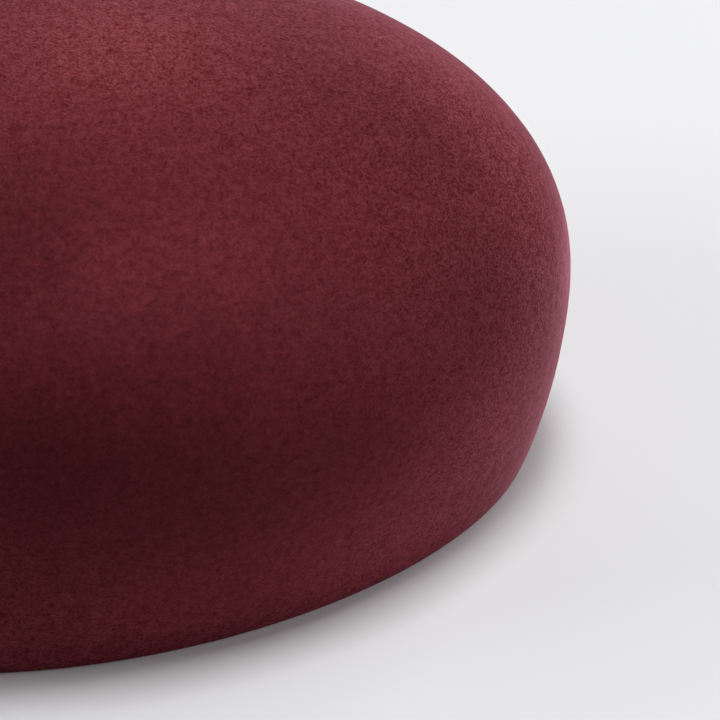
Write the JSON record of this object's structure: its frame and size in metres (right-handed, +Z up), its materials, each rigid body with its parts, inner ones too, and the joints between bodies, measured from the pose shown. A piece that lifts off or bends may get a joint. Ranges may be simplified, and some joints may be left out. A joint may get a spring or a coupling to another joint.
{
  "type": "brimless felt hat",
  "caption": "Soft rounded felt hat without a brim, one piece with an egg-shaped plan, fuller above its plain cut mouth, hollow and open below.",
  "frame": {"origin": "middle of the mouth, on the surface that the hat stands on", "axes": "+X towards the front of the hat, which is the narrower end, +Y to the wearer's left, +Z up"},
  "size_m": [0.2201, 0.1799, 0.101],
  "materials": {
    "felt": "burgundy wool felt with a short brushed nap"
  },
  "bodies": {
    "root": {"crown": "felt"}
  },
  "joints": []
}
